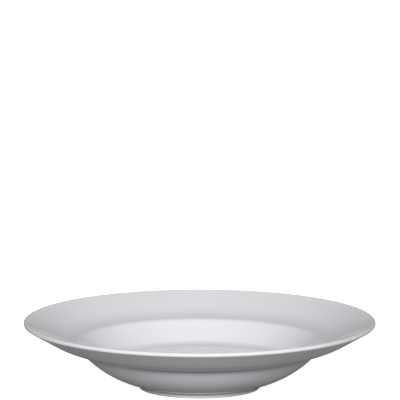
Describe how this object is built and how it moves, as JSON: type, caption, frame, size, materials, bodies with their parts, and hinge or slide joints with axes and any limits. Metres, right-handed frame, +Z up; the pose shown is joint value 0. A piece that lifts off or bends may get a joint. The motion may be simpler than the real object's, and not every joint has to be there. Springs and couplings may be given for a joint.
{
  "type": "pasta plate",
  "caption": "Deep round pasta plate of white glazed porcelain with a broad upswept rim, a flat-floored well and a low foot ring.",
  "frame": {"origin": "on the table, under the middle of the plate", "axes": "+Z up along the plate's axis of revolution, +X and +Y across it"},
  "size_m": [0.3, 0.3, 0.058],
  "materials": {
    "porcelain": "fired, unglazed, ground smooth",
    "glaze": "glossy white glaze"
  },
  "bodies": {
    "root": {"porcelain_body": "porcelain", "outer_glaze": "glaze", "base_glaze": "glaze"}
  },
  "joints": []
}
